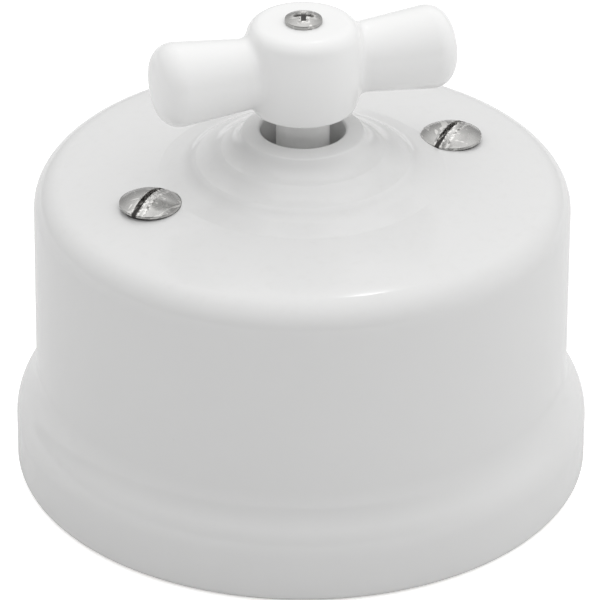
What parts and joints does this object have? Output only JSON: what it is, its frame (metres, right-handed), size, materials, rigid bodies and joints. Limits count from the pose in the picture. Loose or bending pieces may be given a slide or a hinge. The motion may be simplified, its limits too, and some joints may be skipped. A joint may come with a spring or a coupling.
{
  "type": "porcelain rotary switch",
  "caption": "Surface-mounted rotary light switch: round glazed porcelain cover with stepped boss, porcelain T-handle on a turning shaft, contact works inside.",
  "frame": {"origin": "centre of the wall face, on the turning axis", "axes": "+Z along the turning axis away from the wall, +X through the two cover screws"},
  "size_m": [0.07, 0.07, 0.0601],
  "materials": {
    "white_glaze": "white gloss glaze",
    "base_glaze": "white glaze, unglazed foot ring",
    "white_moulding": "white moulded, satin",
    "brown_moulding": "dark brown moulded",
    "cam_moulding": "natural moulded",
    "plated_screw": "nickel-plated, scratched at the slot",
    "bridge_steel": "zinc-plated strip",
    "spring_steel": "blank spring strip",
    "terminal_brass": "machined",
    "spring_bronze": "rolled strip",
    "contact_silver": "plain"
  },
  "bodies": {
    "fixed": {"cover": "white_glaze", "base": "base_glaze", "bridge": "bridge_steel", "detent_spring_front": "spring_steel", "detent_spring_rear": "spring_steel", "terminal_front": "terminal_brass", "terminal_rear": "terminal_brass", "contact_leaf_front": "spring_bronze", "contact_leaf_rear": "spring_bronze", "leaf_rivets": "terminal_brass", "contact_tips": "contact_silver", "clamp_screws": "plated_screw", "pillars": "terminal_brass", "cover_screws": "plated_screw", "pillar_screws": "plated_screw", "terminal_screws": "plated_screw"},
    "turning": {"turning_shaft": "white_moulding", "contact_carrier": "brown_moulding", "moving_contact": "terminal_brass", "detent_cam": "cam_moulding", "shaft_washer": "bridge_steel", "retaining_clip": "spring_steel", "handle": "white_glaze", "handle_screw": "plated_screw"}
  },
  "joints": [
    {"name": "switch_turn", "type": "hinge", "parent": "fixed", "child": "turning", "pos_m": [0, 0, 0.0533], "axis": [0, 0, 1], "continuous": true, "deforming": ["detent_spring_front", "detent_spring_rear"]}
  ]
}
